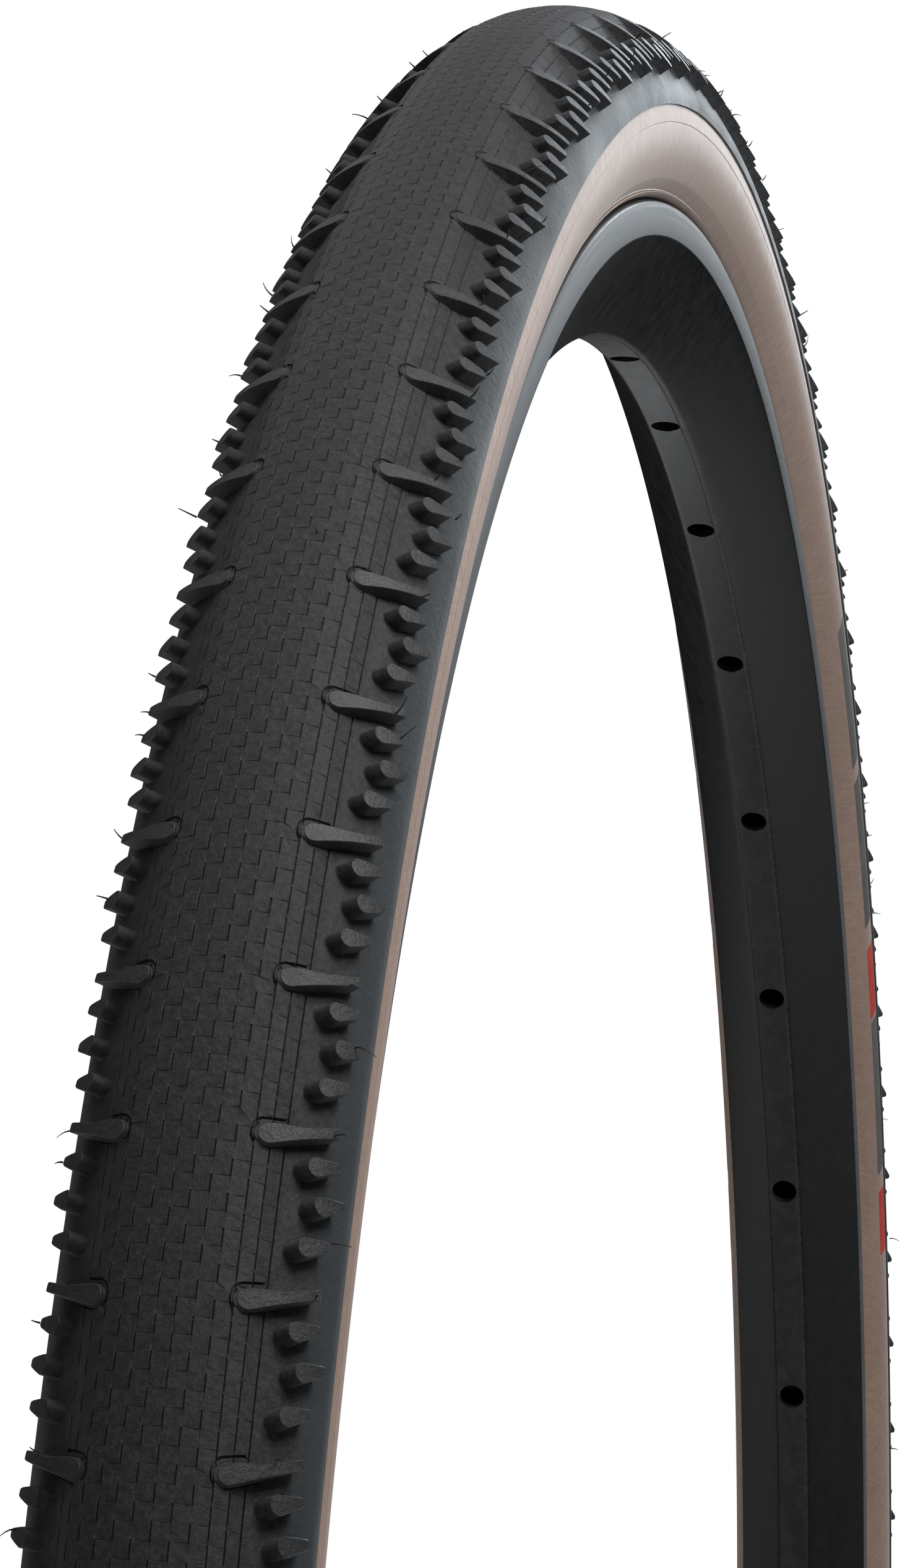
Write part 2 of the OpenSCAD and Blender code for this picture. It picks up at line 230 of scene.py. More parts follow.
def rubber(name, colour, worn, roughness=0.62, shoulder=None):
    """Moulded rubber: fine grain, soft patches of bloom and a little sheen.

    shoulder is the colour of the smoother band along the tread's two edges, lighter and bluer
    than the rest: a painted reflection of the light.
    """
    paint = Paint(name, colour, roughness, specular=0.42)
    paint.shader.inputs["Sheen Weight"].default_value = 0.12
    paint.shader.inputs["Sheen Roughness"].default_value = 0.45
    grain = paint.noise(2600, detail=3)
    patches = paint.noise(55, detail=5)
    speckle = paint.spread(paint.noise(1100, detail=5, roughness=0.75), 0.4, 0.68)
    tint = paint.mix(paint.spread(patches, 0.1, 0.75), colour,
                     paint.mix(speckle, colour, worn))
    dull = paint.spread(patches, 0.3, 0.7, roughness - 0.06, roughness + 0.1)
    if shoulder:
        # The shoulder colour is a painted reflection; the band's lower roughness is the
        # rubber's own
        along = paint.wheel_place()[2]
        band = paint.spread(paint.maths("ABSOLUTE", along), *SHOULDER_SHEEN_BAND)
        tint = paint.mix(band, tint, shoulder)
        dull = paint.maths("SUBTRACT", dull, paint.times(band, 0.1))
    paint.colour(tint)
    paint.roughness(dull)
    paint.bump(grain, 0.28, 0.00012)
    paint.bump(paint.noise(800, detail=5, roughness=0.75), 0.5, 0.0004)
    return paint.material


def tan_sidewall():
    """Thin tan skin over crossed cords: slanting streaks, speckle and slow stains."""
    light, mid, dark = (0.38, 0.25, 0.19), (0.29, 0.185, 0.135), (0.18, 0.105, 0.07)
    paint = Paint("tan_sidewall", mid, 0.5, specular=0.5)
    paint.shader.inputs["Sheen Weight"].default_value = 0.25
    paint.shader.inputs["Sheen Roughness"].default_value = 0.4
    angle, reach, along = paint.wheel_place()
    round_way = paint.times(angle, 0.327)
    slope = paint.maths("ABSOLUTE", along)
    lean = paint.maths("ADD", round_way, paint.times(reach, 0.9))
    counter = paint.maths("SUBTRACT", round_way, paint.times(reach, 0.9))
    streaks = paint.noise(1.0, detail=4, at=paint.vector(
        paint.times(lean, 1500), paint.times(counter, 130), paint.times(slope, 60)))
    crossing = paint.noise(1.0, detail=3, at=paint.vector(
        paint.times(counter, 1300), paint.times(lean, 110), paint.times(slope, 60)))
    weave = paint.maths("ADD", paint.times(streaks, 0.65), paint.times(crossing, 0.35))
    stains = paint.noise(16, detail=5)
    speckle = paint.noise(1900, detail=2)
    base = paint.mix(paint.spread(weave, 0.38, 0.62), mid, light)
    base = paint.mix(paint.spread(stains, 0.42, 0.8, 0.0, 0.4), base, dark)
    base = paint.mix(paint.spread(speckle, 0.62, 0.8, 0.0, 0.3), base, dark)
    paint.colour(base)
    paint.roughness(paint.spread(weave, 0.35, 0.65, 0.56, 0.42))
    paint.bump(weave, 0.4, 0.00022)
    paint.bump(speckle, 0.15, 0.0001)
    return paint.material


def cord_cloth(name, colour, gap):
    """Parallel cords set in rubber, seen as a fine ribbed weave."""
    cords_in_metre = 1500
    paint = Paint(name, colour, 0.7, specular=0.3)
    angle, _, along = paint.wheel_place()
    lean = paint.maths("ADD", paint.times(angle, 0.33), along)
    wave = paint.maths("SINE", paint.times(lean, cords_in_metre * 2 * math.pi))
    ribs = paint.spread(wave, -1.0, 1.0)
    tint = paint.times(ribs, paint.spread(paint.noise(300), 0.3, 0.7, 0.6, 1.0))
    paint.colour(paint.mix(tint, gap, colour))
    paint.bump(ribs, 0.5, 0.0002)
    return paint.material


def carbon_satin(name, base, flake, specular):
    """Matt lacquered carbon: near black, with a faint mottled ply and a soft gloss."""
    paint = Paint(name, base, 0.32, specular=specular)
    ply = paint.noise(260, detail=6, distortion=0.6)
    fine = paint.noise(1800, detail=3)
    paint.colour(paint.mix(paint.spread(ply, 0.4, 0.72), base, flake))
    paint.roughness(paint.spread(ply, 0.3, 0.7, 0.28, 0.38))
    paint.bump(fine, 0.05, 0.00008)
    return paint.material


def track_grey_painted_sheen():
    """Fine-ground band along the rim's edge, painted a lighter blue-grey that is partly a
    painted reflection of the light.
    """
    base, pale = (0.06, 0.066, 0.072), (0.12, 0.13, 0.14)
    paint = Paint("rim_track_painted_sheen", base, 0.55, specular=0.32)
    angle, reach, along = paint.wheel_place()
    lines = paint.noise(1.0, detail=3, at=paint.vector(
        paint.times(angle, 14), paint.times(reach, 3600), paint.times(along, 400)))
    paint.colour(paint.mix(paint.spread(lines, 0.35, 0.7), base, pale))
    paint.roughness(paint.spread(lines, 0.3, 0.7, 0.5, 0.62))
    paint.bump(lines, 0.12, 0.00008)
    return paint.material


def metal(name, colour, roughness, tarnish):
    paint = Paint(name, colour, roughness, metallic=1.0)
    wear = paint.noise(420, detail=5)
    paint.colour(paint.mix(paint.spread(wear, 0.45, 0.75), colour, tarnish))
    paint.roughness(paint.spread(wear, 0.3, 0.7, roughness - 0.05, roughness + 0.12))
    paint.bump(paint.noise(3200, detail=2), 0.06, 0.00005)
    return paint.material


def plastic(name, colour, roughness, pale):
    paint = Paint(name, colour, roughness, specular=0.5)
    grain = paint.noise(1500, detail=3)
    paint.colour(paint.mix(paint.spread(paint.noise(140), 0.4, 0.75), colour, pale))
    paint.roughness(paint.spread(grain, 0.3, 0.7, roughness - 0.05, roughness + 0.08))
    paint.bump(grain, 0.12, 0.0001)
    return paint.material


def floor_paint():
    paint = Paint("pale_floor", (0.92, 0.92, 0.92), 0.85, specular=0.2)
    paint.colour(paint.mix(paint.noise(6), (0.9, 0.9, 0.9), (0.94, 0.94, 0.94)))
    return paint.material


MATERIALS = {
    "tread_rubber": rubber("tread_rubber", (0.013, 0.014, 0.016), (0.05, 0.051, 0.054)),
    "liner_rubber": rubber("liner_rubber", (0.02, 0.02, 0.02), (0.04, 0.04, 0.04), 0.5),
    "seal_rubber": rubber("seal_rubber", (0.012, 0.012, 0.012), (0.03, 0.03, 0.03), 0.55),
    "sidewall_skin": tan_sidewall(),
    "belt_cord": cord_cloth("belt_cord", (0.62, 0.45, 0.08), (0.2, 0.13, 0.03)),
    "casing_cord": cord_cloth("casing_cord", (0.6, 0.55, 0.44), (0.25, 0.2, 0.14)),
    "bead_cord": cord_cloth("bead_cord", (0.62, 0.56, 0.2), (0.25, 0.22, 0.08)),
    "bead_cloth": cord_cloth("bead_cloth", (0.3, 0.2, 0.12), (0.1, 0.06, 0.04)),
    "label_print": plastic("label_print", (0.11, 0.105, 0.105), 0.55, (0.15, 0.14, 0.14)),
    "rim_carbon": carbon_satin("rim_carbon", (0.004, 0.0042, 0.0045),
                               (0.011, 0.0112, 0.012), 0.12),
    "tape_film": plastic("tape_film", (0.75, 0.55, 0.08), 0.3, (0.8, 0.62, 0.14)),
    "stem_metal": metal("stem_metal", (0.72, 0.72, 0.7), 0.28, (0.5, 0.5, 0.48)),
    "nut_metal": metal("nut_metal", (0.06, 0.06, 0.065), 0.38, (0.1, 0.1, 0.1)),
    "core_brass": metal("core_brass", (0.78, 0.58, 0.26), 0.25, (0.5, 0.36, 0.16)),
    "spring_steel": metal("spring_steel", (0.6, 0.6, 0.6), 0.3, (0.45, 0.45, 0.45)),
    "cap_plastic": plastic("cap_plastic", (0.02, 0.02, 0.022), 0.4, (0.03, 0.03, 0.033)),
}
TRACK_PAINTED_SHEEN = track_grey_painted_sheen()
# Lighter, glossier carbon on the rim's nose: a painted highlight along the nose
NOSE_PAINTED_HIGHLIGHT = carbon_satin("rim_nose_painted_highlight", (0.011, 0.0113, 0.012),
                           (0.026, 0.0265, 0.028), 0.3)
LABEL_RED = plastic("label_red", (0.62, 0.045, 0.03), 0.5, (0.72, 0.09, 0.06))
# Knob tops: smoother rubber painted lighter than the walls, a painted light where the lamps
# fall on them
KNOB_TOP_PAINTED_LIGHT = rubber("knob_top_painted_light_rubber", (0.02, 0.021, 0.023), (0.05, 0.051, 0.054), 0.42)
# The tread skin's lighter blue-grey shoulder colour is a painted reflection
TREAD_SKIN = rubber("tread_skin_rubber", (0.011, 0.012, 0.014), (0.055, 0.055, 0.057),
                    shoulder=(0.03, 0.038, 0.043))


# ---- mesh helpers

def make_piece(name, points, faces, slot, body, *nodes, smooth_under=32):
    """A mesh piece, given in millimetres, that rides on a body and stands for nodes."""
    mesh = bpy.data.meshes.new(name)
    points = np.asarray(points, float) * MM
    sizes = np.array([len(f) for f in faces], np.int32)
    corners = np.concatenate([np.asarray(f, np.int32) for f in faces]) \
        if not isinstance(faces, np.ndarray) else faces.astype(np.int32).ravel()
    starts = np.concatenate([[0], np.cumsum(sizes)[:-1]]).astype(np.int32)
    mesh.vertices.add(len(points))
    mesh.vertices.foreach_set("co", points.astype(np.float32).ravel())
    mesh.loops.add(len(corners))
    mesh.loops.foreach_set("vertex_index", corners)
    mesh.polygons.add(len(sizes))
    mesh.polygons.foreach_set("loop_start", starts)
    mesh.polygons.foreach_set("loop_total", sizes)
    mesh.update(calc_edges=True)
    mesh.validate()
    mesh.polygons.foreach_set("use_smooth", np.ones(len(mesh.polygons), bool))
    mesh.set_sharp_from_angle(angle=smooth_under * DEG)
    mesh.materials.append(MATERIALS[slot])
    piece = bpy.data.objects.new(name, mesh)
    bpy.context.scene.collection.objects.link(piece)
    if nodes:
        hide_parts(*nodes)
    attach(piece, body)
    return piece


def paint_faces(piece, numbers, *materials):
    """Add materials to a piece, and give each face the one with its number."""
    for material in materials:
        piece.data.materials.append(material)
    piece.data.polygons.foreach_set("material_index", np.array(numbers, np.int32))


def turned(points, closed=False, steps=RING_STEPS, from_angle=0.0, span=360.0):
    """Points and faces of a cross-section turned about the axle."""
    section = np.array(points, float)
    whole = span >= 360
    columns = steps if whole else steps + 1
    angles = (from_angle + span * np.arange(columns) / steps) * DEG
    r, y = section[:, 0], section[:, 1]
    x = np.cos(angles)[:, None] * r
    z = np.sin(angles)[:, None] * r
    vertices = np.stack([x, np.broadcast_to(y, x.shape), z], -1).reshape(-1, 3)
    count = len(section)
    across = count if closed else count - 1
    i, j = np.meshgrid(np.arange(steps), np.arange(across), indexing="ij")
    i_next, j_next = (i + 1) % columns, (j + 1) % count
    faces = np.stack([i * count + j, i_next * count + j, i_next * count + j_next,
                      i * count + j_next], -1).reshape(-1, 4)
    return vertices, faces


def tube_faces(rings, sides):
    """Four-cornered faces between closed rings of points, numbered ring by ring."""
    return [[k * sides + i, k * sides + (i + 1) % sides,
             (k + 1) * sides + (i + 1) % sides, (k + 1) * sides + i]
            for k in range(rings - 1) for i in range(sides)]


def joined(parts):
    """One points and faces pair from several."""
    points, faces, start = [], [], 0
    for some_points, some_faces in parts:
        points.append(np.asarray(some_points, float))
        faces.extend([[start + int(c) for c in f] for f in some_faces]
                     if not isinstance(some_faces, np.ndarray) else
                     (some_faces + start).tolist())
        start += len(some_points)
    return np.concatenate(points), faces


def on_wheel(r, y, theta):
    """Points at a distance from the axle, a place along it and an angle in degrees."""
    theta = np.asarray(theta) * DEG
    return np.stack([r * np.cos(theta), y + 0 * theta, r * np.sin(theta)], -1)


def arc(centre, radius, first, last, steps):
    angles = np.linspace(first, last, steps + 1) * DEG
    return [(centre[0] + radius * math.cos(a), centre[1] + radius * math.sin(a))
            for a in angles]


def mirrored(points):
    return [(r, -y) for r, y in reversed(points)]


def smooth(value):
    value = np.clip(value, 0, 1)
    return value * value * (3 - 2 * value)


def welded(points, faces, gap=0.004):
    """Merge points that fall on the same place, and drop faces that vanish."""
    keys = np.round(np.asarray(points) / gap).astype(np.int64)
    _, first, index = np.unique(keys, axis=0, return_index=True, return_inverse=True)
    index = index.ravel()
    faces = index[np.asarray(faces)]
    good = (faces[:, 0] != faces[:, 1]) & (faces[:, 1] != faces[:, 2]) \
        & (faces[:, 2] != faces[:, 0])
    return np.asarray(points)[first], faces[good]


def cut_sheet(width, height, lines, loops, extra):
    """Triangulate a rectangle from (0, 0), with drawn lines and closed loops as edges.

    lines and loops are lists of 2-D points; extra is a list of loose 2-D points.
    Returns the points and the triangles inside the rectangle.
    """
    points = [(0, 0), (width, 0), (width, height), (0, height)]
    edges = [(0, 1), (1, 2), (2, 3), (3, 0)]
    for chain, is_loop in [(c, False) for c in lines] + [(c, True) for c in loops]:
        start = len(points)
        points += [tuple(p) for p in chain]
        edges += [(start + k, start + k + 1) for k in range(len(chain) - 1)]
        if is_loop:
            edges.append((start + len(chain) - 1, start))
    points += [tuple(p) for p in extra]
    found, _, faces = delaunay_2d_cdt(
        [Vector(p) for p in points], edges, [], 0, 1e-5)[:3]
    found = np.array([tuple(p) for p in found])
    faces = np.array([f for f in faces if len(f) == 3])
    middle = found[faces].mean(axis=1)
    inside = (middle[:, 0] > 0) & (middle[:, 0] < width) \
        & (middle[:, 1] > 0) & (middle[:, 1] < height)
    return found, faces[inside]


# ---- tread

def crown_reach(psi):
    shift = CROWN_CENTRE_R - CASING_CENTRE_R
    return shift * np.cos(psi) + np.sqrt(CROWN_R ** 2 - (shift * np.sin(psi)) ** 2)


def tread_base(s):
    """(distance from the crown circle's centre, angle) of the tread base at an arc s."""
    psi = np.linspace(0, TREAD_EDGE, 400)
    drop = SHOULDER_DROP * smooth((psi * DEG * CROWN_R - CROWN_FLAT)
                                  / (SHOULDER_START - CROWN_FLAT))
    floor = CASING_R + 0.45 * smooth((1 - psi / TREAD_EDGE) * 6)
    reach = np.maximum(crown_reach(psi * DEG) - drop, floor)
    thin = 0.4 * smooth((psi - TREAD_EDGE + 5) / 5)
    r = CASING_CENTRE_R - CROWN_CENTRE_R + (reach - thin) * np.cos(psi * DEG)
    y = (reach - thin) * np.sin(psi * DEG)
    arcs = np.arctan2(y, r) * CROWN_R
    return np.interp(np.abs(s), arcs, np.hypot(r, y))


S_EDGE = float(np.arctan2(
    EDGE_REACH * math.sin(TREAD_EDGE * DEG),
    CASING_CENTRE_R - CROWN_CENTRE_R + EDGE_REACH * math.cos(TREAD_EDGE * DEG)
) * CROWN_R)


def crown_point(s, theta, depth=0.0, base=False):
    """Point at arc s from the crown's middle (+ is the left side) and angle theta."""
    phi = np.asarray(s) / CROWN_R
    reach = (tread_base(s) if base else CROWN_R) - depth
    return on_wheel(CROWN_CENTRE_R + reach * np.cos(phi), reach * np.sin(phi), theta)


def crown_radius(s):
    return CROWN_CENTRE_R + CROWN_R * math.cos(s / CROWN_R)


# Knobs: arc from the crown's middle to the nose and the tail, angles from the long
# knob's nose, nose radius, half widths at the tail on the side of increasing angle and
# on the other, where along the knob it has narrowed, and how far the nose's foot flares
KNOBS = {
    "long": dict(nose=9.95, tail=20.5, offsets=(0.0,), nose_r=1.35, tail_w=(0.85, 0.42),
                 narrow=(1.0, 0.55), flare=0.35),
    "inner": dict(nose=16.9, tail=20.7, offsets=(0.41, 2.19), nose_r=1.3,
                  tail_w=(0.6, 0.5), narrow=(1.0, 1.0), flare=1.2),
    "outer": dict(nose=18.5, tail=22.3, offsets=(1.2,), nose_r=1.3, tail_w=(0.6, 0.5),
                  narrow=(1.0, 1.0), flare=1.2),
}


def knob_half(knob, side, sides=8):
    """Half outline from the nose to the tail, as (along, across); side is 1 or -1."""
    length = knob["tail"] - knob["nose"]
    nose_r, corner = knob["nose_r"], 0.3
    tail_w, narrow = [knob[key][side < 0] for key in ("tail_w", "narrow")]
    half = arc((0, 0), nose_r, 180, 90, 6)
    for k in range(1, sides):
        t = k / sides
        ease = min(t / narrow, 1.0) if narrow == 1.0 else float(smooth(t / narrow))
        half.append((length * t, nose_r + (tail_w - nose_r) * ease))
    half += arc((length - corner, tail_w - corner), corner, 90, 0, 3)
    half.append((length, 0))
    return [(u, v * side) for u, v in half]


def knob_shape(knob, grow=0.0, flare=0.0):
    """The whole outline, grown outwards and pushed out at the nose, leaning."""
    ring = np.array(knob_half(knob, 1) + knob_half(knob, -1)[-2:0:-1])
    ahead = np.roll(ring, -1, axis=0) - np.roll(ring, 1, axis=0)
    normal = np.stack([-ahead[:, 1], ahead[:, 0]], -1)
    normal /= np.linalg.norm(normal, axis=1)[:, None]
    ring = ring + normal * grow
    ring[:, 0] -= flare * smooth(-normal[:, 0])
    return leaning(ring)


def leaning(points):
    points = np.asarray(points, float)
    cos, sin = math.cos(-KNOB_SLANT), math.sin(-KNOB_SLANT)
    return np.stack([points[:, 0] * cos - points[:, 1] * sin,
                     points[:, 0] * sin + points[:, 1] * cos], -1)


# Rings of points from a knob's foot to its top: how far the outline is grown, the share
# of the nose's flare, the depth under the crown circle if it isn't set by the tread's
# base, and how far under that base it is
KNOB_RINGS = [(0.2, 1.0, None, 0.35), (0.18, 1.0, None, 0.04), (0.09, 0.85, None, -0.12),
              (0.0, 0.0, 0.09, 0), (-0.08, 0.0, 0.0, 0)]
FIRST_TOP_RING = 3


def knob_mesh(knob, side):
    """One knob at angle 0: walls with draft, a crisp top edge and a curved top."""
    points = []
    for grow, flare_share, depth, below in KNOB_RINGS:
        shape = knob_shape(knob, grow, flare_share * knob["flare"])
        s = knob["nose"] + shape[:, 0]
        theta = shape[:, 1] / np.array([crown_radius(a) for a in s]) / DEG
        base_depth = CROWN_R - tread_base(s)
        depth_here = base_depth + below if depth is None \
            else np.minimum(depth, base_depth + 0.3)
        points.append(crown_point(side * s, theta, depth_here))
    count = len(points[0])
    points = np.concatenate(points)
    faces = tube_faces(len(KNOB_RINGS), count)
    top = (len(KNOB_RINGS) - 1) * count
    half = count // 2
    for i in range(half):
        quad = [top + i, top + i + 1, top + (count - i - 1) % count, top + (count - i) % count]
        faces.append(list(dict.fromkeys(quad)))
    if side > 0:
        faces = [f[::-1] for f in faces]
    return points, faces


def knob_row(kind, side, name):
    """Every knob of one kind on one side, with smoother rubber on the tops, painted lighter as
    painted light from above.
    """
    knob = KNOBS[kind]
    points, faces = knob_mesh(knob, side)
    first_top = len(points) // len(KNOB_RINGS) * FIRST_TOP_RING
    # Top faces get the lighter rubber, a painted light
    painted_light_tops = [min(f) >= first_top for f in faces]
    all_points, all_faces = [], []
    for i in range(PITCHES):
        for offset in knob["offsets"]:
            turn = (KNOB_PHASE + i * 360 / PITCHES + offset) * DEG
            x = points[:, 0] * math.cos(turn) - points[:, 2] * math.sin(turn)
            z = points[:, 0] * math.sin(turn) + points[:, 2] * math.cos(turn)
            start = len(all_points) * len(points)
            all_points.append(np.stack([x, points[:, 1], z], -1))
            all_faces += [[c + start for c in f] for f in faces]
    piece = make_piece(name + "_shaped", np.concatenate(all_points), all_faces,
                       "tread_rubber", "wheel", name, smooth_under=26)
    paint_faces(piece, np.tile(painted_light_tops, PITCHES * len(knob["offsets"])), KNOB_TOP_PAINTED_LIGHT)


def stair_lines():
    """Centre lines of the crown's dashes in a tile, crosswise and round the wheel.

    Each is a pair of (s, angle) points. Together they make stairs; the outermost right
    columns' lines round the wheel are long enough to read as broken lines.
    """
    period = TILE_ANGLE / STAIRS_IN_TILE
    cross, along = [], []
    for column in range(STAIR_COLUMNS + 1):
        s = STAIR_FIRST + column * STAIR_COLUMN
        share = LONG_LINE_SHARE if s < -LONG_LINES_FROM else SHORT_LINE_SHARE
        for k in range(-2, STAIRS_IN_TILE + 2):
            theta = (k + column % 2 / 2) * period
            if column < STAIR_COLUMNS:
                cross.append([(s, theta), (s + STAIR_COLUMN, theta)])
            along.append([(s, theta - period / 2), (s, theta + period * (share - 0.5))])
    return cross, along


def nose_lines(path):
    """A line drawn beside a long knob's nose, at each nose of a tile on both sides."""
    nose = KNOBS["long"]["nose"]
    path = leaning(path)
    return [[(side * (nose + u),
              KNOB_PHASE + k * 360 / PITCHES + v / crown_radius(nose) / DEG)
             for u, v in path]
            for k in range(-1, PITCHES_IN_TILE + 1) for side in (-1, 1)]


def hoof_lines():
    """Groove that runs beside the nose and bends round its inner end."""
    away = KNOBS["long"]["nose_r"] + 0.85
    return nose_lines([(3.2, -away + 0.2)] + arc((0, 0), away, 270, 165, 9))


def moat_lines():
    """Deeper groove against the nose, from its inner end along the other side."""
    away = KNOBS["long"]["nose_r"] + 0.1
    return nose_lines(arc((0, 0), away, 225, 90, 10) + [(4.0, away - 0.2)])


def groove_outline(chain, half_w):
    """Closed outline at a distance from a chain of (s, mm round the wheel) points."""
    line = np.array(chain)
    way = np.diff(line, axis=0)
    way /= np.linalg.norm(way, axis=1)[:, None]
    square = np.stack([-way[:, 1], way[:, 0]], -1)
    out = []
    for sign in (1, -1):
        edge = []
        for i in range(len(line)):
            first, second = square[max(i - 1, 0)], square[min(i, len(way) - 1)]
            joint = first + second
            joint = joint / (joint @ joint) * 2
            edge.append(line[i] + sign * half_w * joint)
        out += edge if sign > 0 else edge[::-1]
    return out


def distance_to_chains(points, chains):
    far_off = 9.0
    best = np.full(len(points), far_off)
    for chain in chains:
        line = np.array(chain)
        near = np.where((points[:, 1] > line[:, 1].min() - 1)
                        & (points[:, 1] < line[:, 1].max() + 1)
                        & (points[:, 0] > line[:, 0].min() - 1)
                        & (points[:, 0] < line[:, 0].max() + 1))[0]
        if not len(near):
            continue
        p = points[near]
        for a, b in zip(line[:-1], line[1:]):
            t = np.clip(((p - a) @ (b - a)) / ((b - a) @ (b - a)), 0, 1)
            gap = np.linalg.norm(p - a - t[:, None] * (b - a), axis=1)
            best[near] = np.minimum(best[near], gap)
    return best


def tread_cap():
    """The tread's outer skin with its grooves, closed by its edges and inner face."""
    scale = CROWN_CENTRE_R * DEG + CROWN_R * DEG  # millimetres to a degree at the crown
    width, height = 2 * S_EDGE, TILE_ANGLE * scale
    shoulder_from, row_count = 14.0, 29

    def flat(chain):
        return [(s + S_EDGE, theta * scale) for s, theta in chain]

    cross, along = stair_lines()
    kinds = [(CROSS_GROOVE, [flat(c) for c in cross]), (ROUND_GROOVE, [flat(c) for c in along]),
             (HOOF_GROOVE, [flat(c) for c in hoof_lines()]),
             (MOAT_GROOVE, [flat(c) for c in moat_lines()])]
    chains = [c for _, some in kinds for c in some]
    loops = [groove_outline(c, half_w) for (half_w, _), some in kinds for c in some]
    shoulder = list(np.arange(shoulder_from, S_EDGE - 0.2, 1.0)) + [S_EDGE]
    rows = np.linspace(0, height, row_count)
    extra = [(side * a + S_EDGE, t) for a in shoulder for side in (-1, 1) for t in rows]
    points, faces = cut_sheet(width, height, chains, loops, extra)
    depth = np.zeros(len(points))
    for (half_w, deep), some in kinds:
        near = distance_to_chains(points, some)
        depth = np.maximum(depth, deep * np.clip(1.25 * (1 - near / half_w), 0, 1))
    s = points[:, 0] - S_EDGE
    parts_points, parts_faces = [], []
    for k in range(round(360 / TILE_ANGLE)):
        theta = points[:, 1] / scale + k * TILE_ANGLE
        parts_points.append(crown_point(s, theta, depth, base=True))
        parts_faces.append(faces + k * len(points))
    outer = welded(np.concatenate(parts_points), np.concatenate(parts_faces))
    used = np.unique(outer[1])
    renumber = np.zeros(len(outer[0]), int)
    renumber[used] = np.arange(len(used))
    outer = (outer[0][used], renumber[outer[1]])
    edge = [casing_point(EDGE_REACH, TREAD_EDGE)]
    inner = mirrored(edge) + arc((CASING_CENTRE_R, 0), CASING_R, -TREAD_EDGE,
                                 TREAD_EDGE, 40) + edge
    piece = make_piece("tread_skin", *joined([outer, turned(inner, steps=500)]),
                       "tread_rubber", "wheel", "tread_cap", smooth_under=28)
    piece.data.materials[0] = TREAD_SKIN


def moulding_hairs():
    """Short whiskers left by the mould's vents on knobs and on the crown."""
    draw = random.Random(11)
    spots = []
    for i in range(PITCHES):
        base = KNOB_PHASE + i * 360 / PITCHES
        for side in (-1, 1):
            if draw.random() < 0.75:
                spots.append((side * draw.uniform(15.5, 19.5), base - draw.uniform(0.3, 0.5)))
            if draw.random() < 0.5:
                spots.append((side * draw.uniform(19.5, 21.5),
                              base + draw.choice((0.2, 1.0, 1.9))))
            if draw.random() < 0.16:
                spots.append((side * draw.uniform(1, 8), base + draw.uniform(0, 3.5)))
    parts = []
    for s, theta in spots:
        foot = Vector(crown_point(s, np.array([theta]), 0.1)[0])
        out = (foot - Vector(on_wheel(CROWN_CENTRE_R, 0, np.array([theta]))[0])).normalized()
        lean = Vector((draw.uniform(-1, 1), draw.uniform(-1, 1), draw.uniform(-1, 1)))
        side_way = (lean - lean.dot(out) * out).normalized()
        length = draw.uniform(0.8, 2.6)
        bend = draw.uniform(0.2, 0.9)
        steps, sides, points = 5, 5, []
        across = out.cross(side_way)
        for k in range(steps + 1):
            t = k / steps
            centre = foot + out * length * t + side_way * length * bend * t * t
            radius = 0.15 - 0.08 * t
            for j in range(sides):
                turn = 2 * math.pi * j / sides
                points.append(centre + radius * (math.cos(turn) * side_way
                                                 + math.sin(turn) * across))
        faces = tube_faces(steps + 1, sides)
        faces.append([steps * sides + j for j in range(sides)])
        parts.append((np.array([tuple(p) for p in points]), faces))
    make_piece("moulding_hairs", *joined(parts), "tread_rubber", "wheel", smooth_under=60)


# ---- sidewalls

def casing_point(radius, angle):
    return (CASING_CENTRE_R + radius * math.cos(angle * DEG),
            radius * math.sin(angle * DEG))


def sidewall(side, name):
    """Tan skin with its thin sunk line, turned in over the rim's edge."""
    line_at, line_half, line_depth = 88.5, 0.45, 0.09
    outer = []
    for angle in sorted(set([50 + 3 * k for k in range(9)] + [76 + k for k in range(45)]
                            + [line_at - line_half, line_at, line_at + line_half])):
        sink = line_depth if angle == line_at else 0.0
        outer.append(casing_point(CASING_R - sink - 0.02, angle))
    outer += [(318.72, 13.78), (318.5, 13.8)] + arc((318.0, 13.75), 0.42, 60, -60, 6)[::-1]
    outer += [(317.45, 13.3), (317.3, 12.0), (316.6, 11.2)]
    inner = [(316.9, 10.7), (317.7, 11.65), (318.75, 13.1)]
    inner += [casing_point(CASING_R - SKIN_T, a) for a in range(120, 49, -5)]
    section = [(r, side * y) for r, y in outer + inner]
    if side > 0:
        section.reverse()
    make_piece(name + "_skin", *turned(section, closed=True), "sidewall_skin", "wheel",
               name, smooth_under=40)


def labels():
    """Plain printed bars on both sidewalls, two of them red."""
    parts = []
    red_faces = []
    for first, span, red in LABEL_BARS:
        for side in (-1, 1):
            outer = [casing_point(CASING_R + 0.03, a) for a in (88, 92, 96, 100, 104)]
            inner = [casing_point(CASING_R - 0.1, a) for a in (104, 96, 88)]
            section = [(r, side * y) for r, y in outer + inner]
            if side > 0:
                section.reverse()
            steps = max(6, round(span * 3))
            points, faces = turned(section, closed=True, steps=steps, from_angle=first,
                                   span=span)
            ends = [list(range(len(section)))[::-1],
                    [steps * len(section) + k for k in range(len(section))]]
            parts.append((points, faces.tolist() + ends))
            red_faces += [red] * (len(faces) + len(ends))
    piece = make_piece("label_bars", *joined(parts), "label_print", "wheel",
                       "sidewall_labels")
    paint_faces(piece, red_faces, LABEL_RED)


# ---- rim

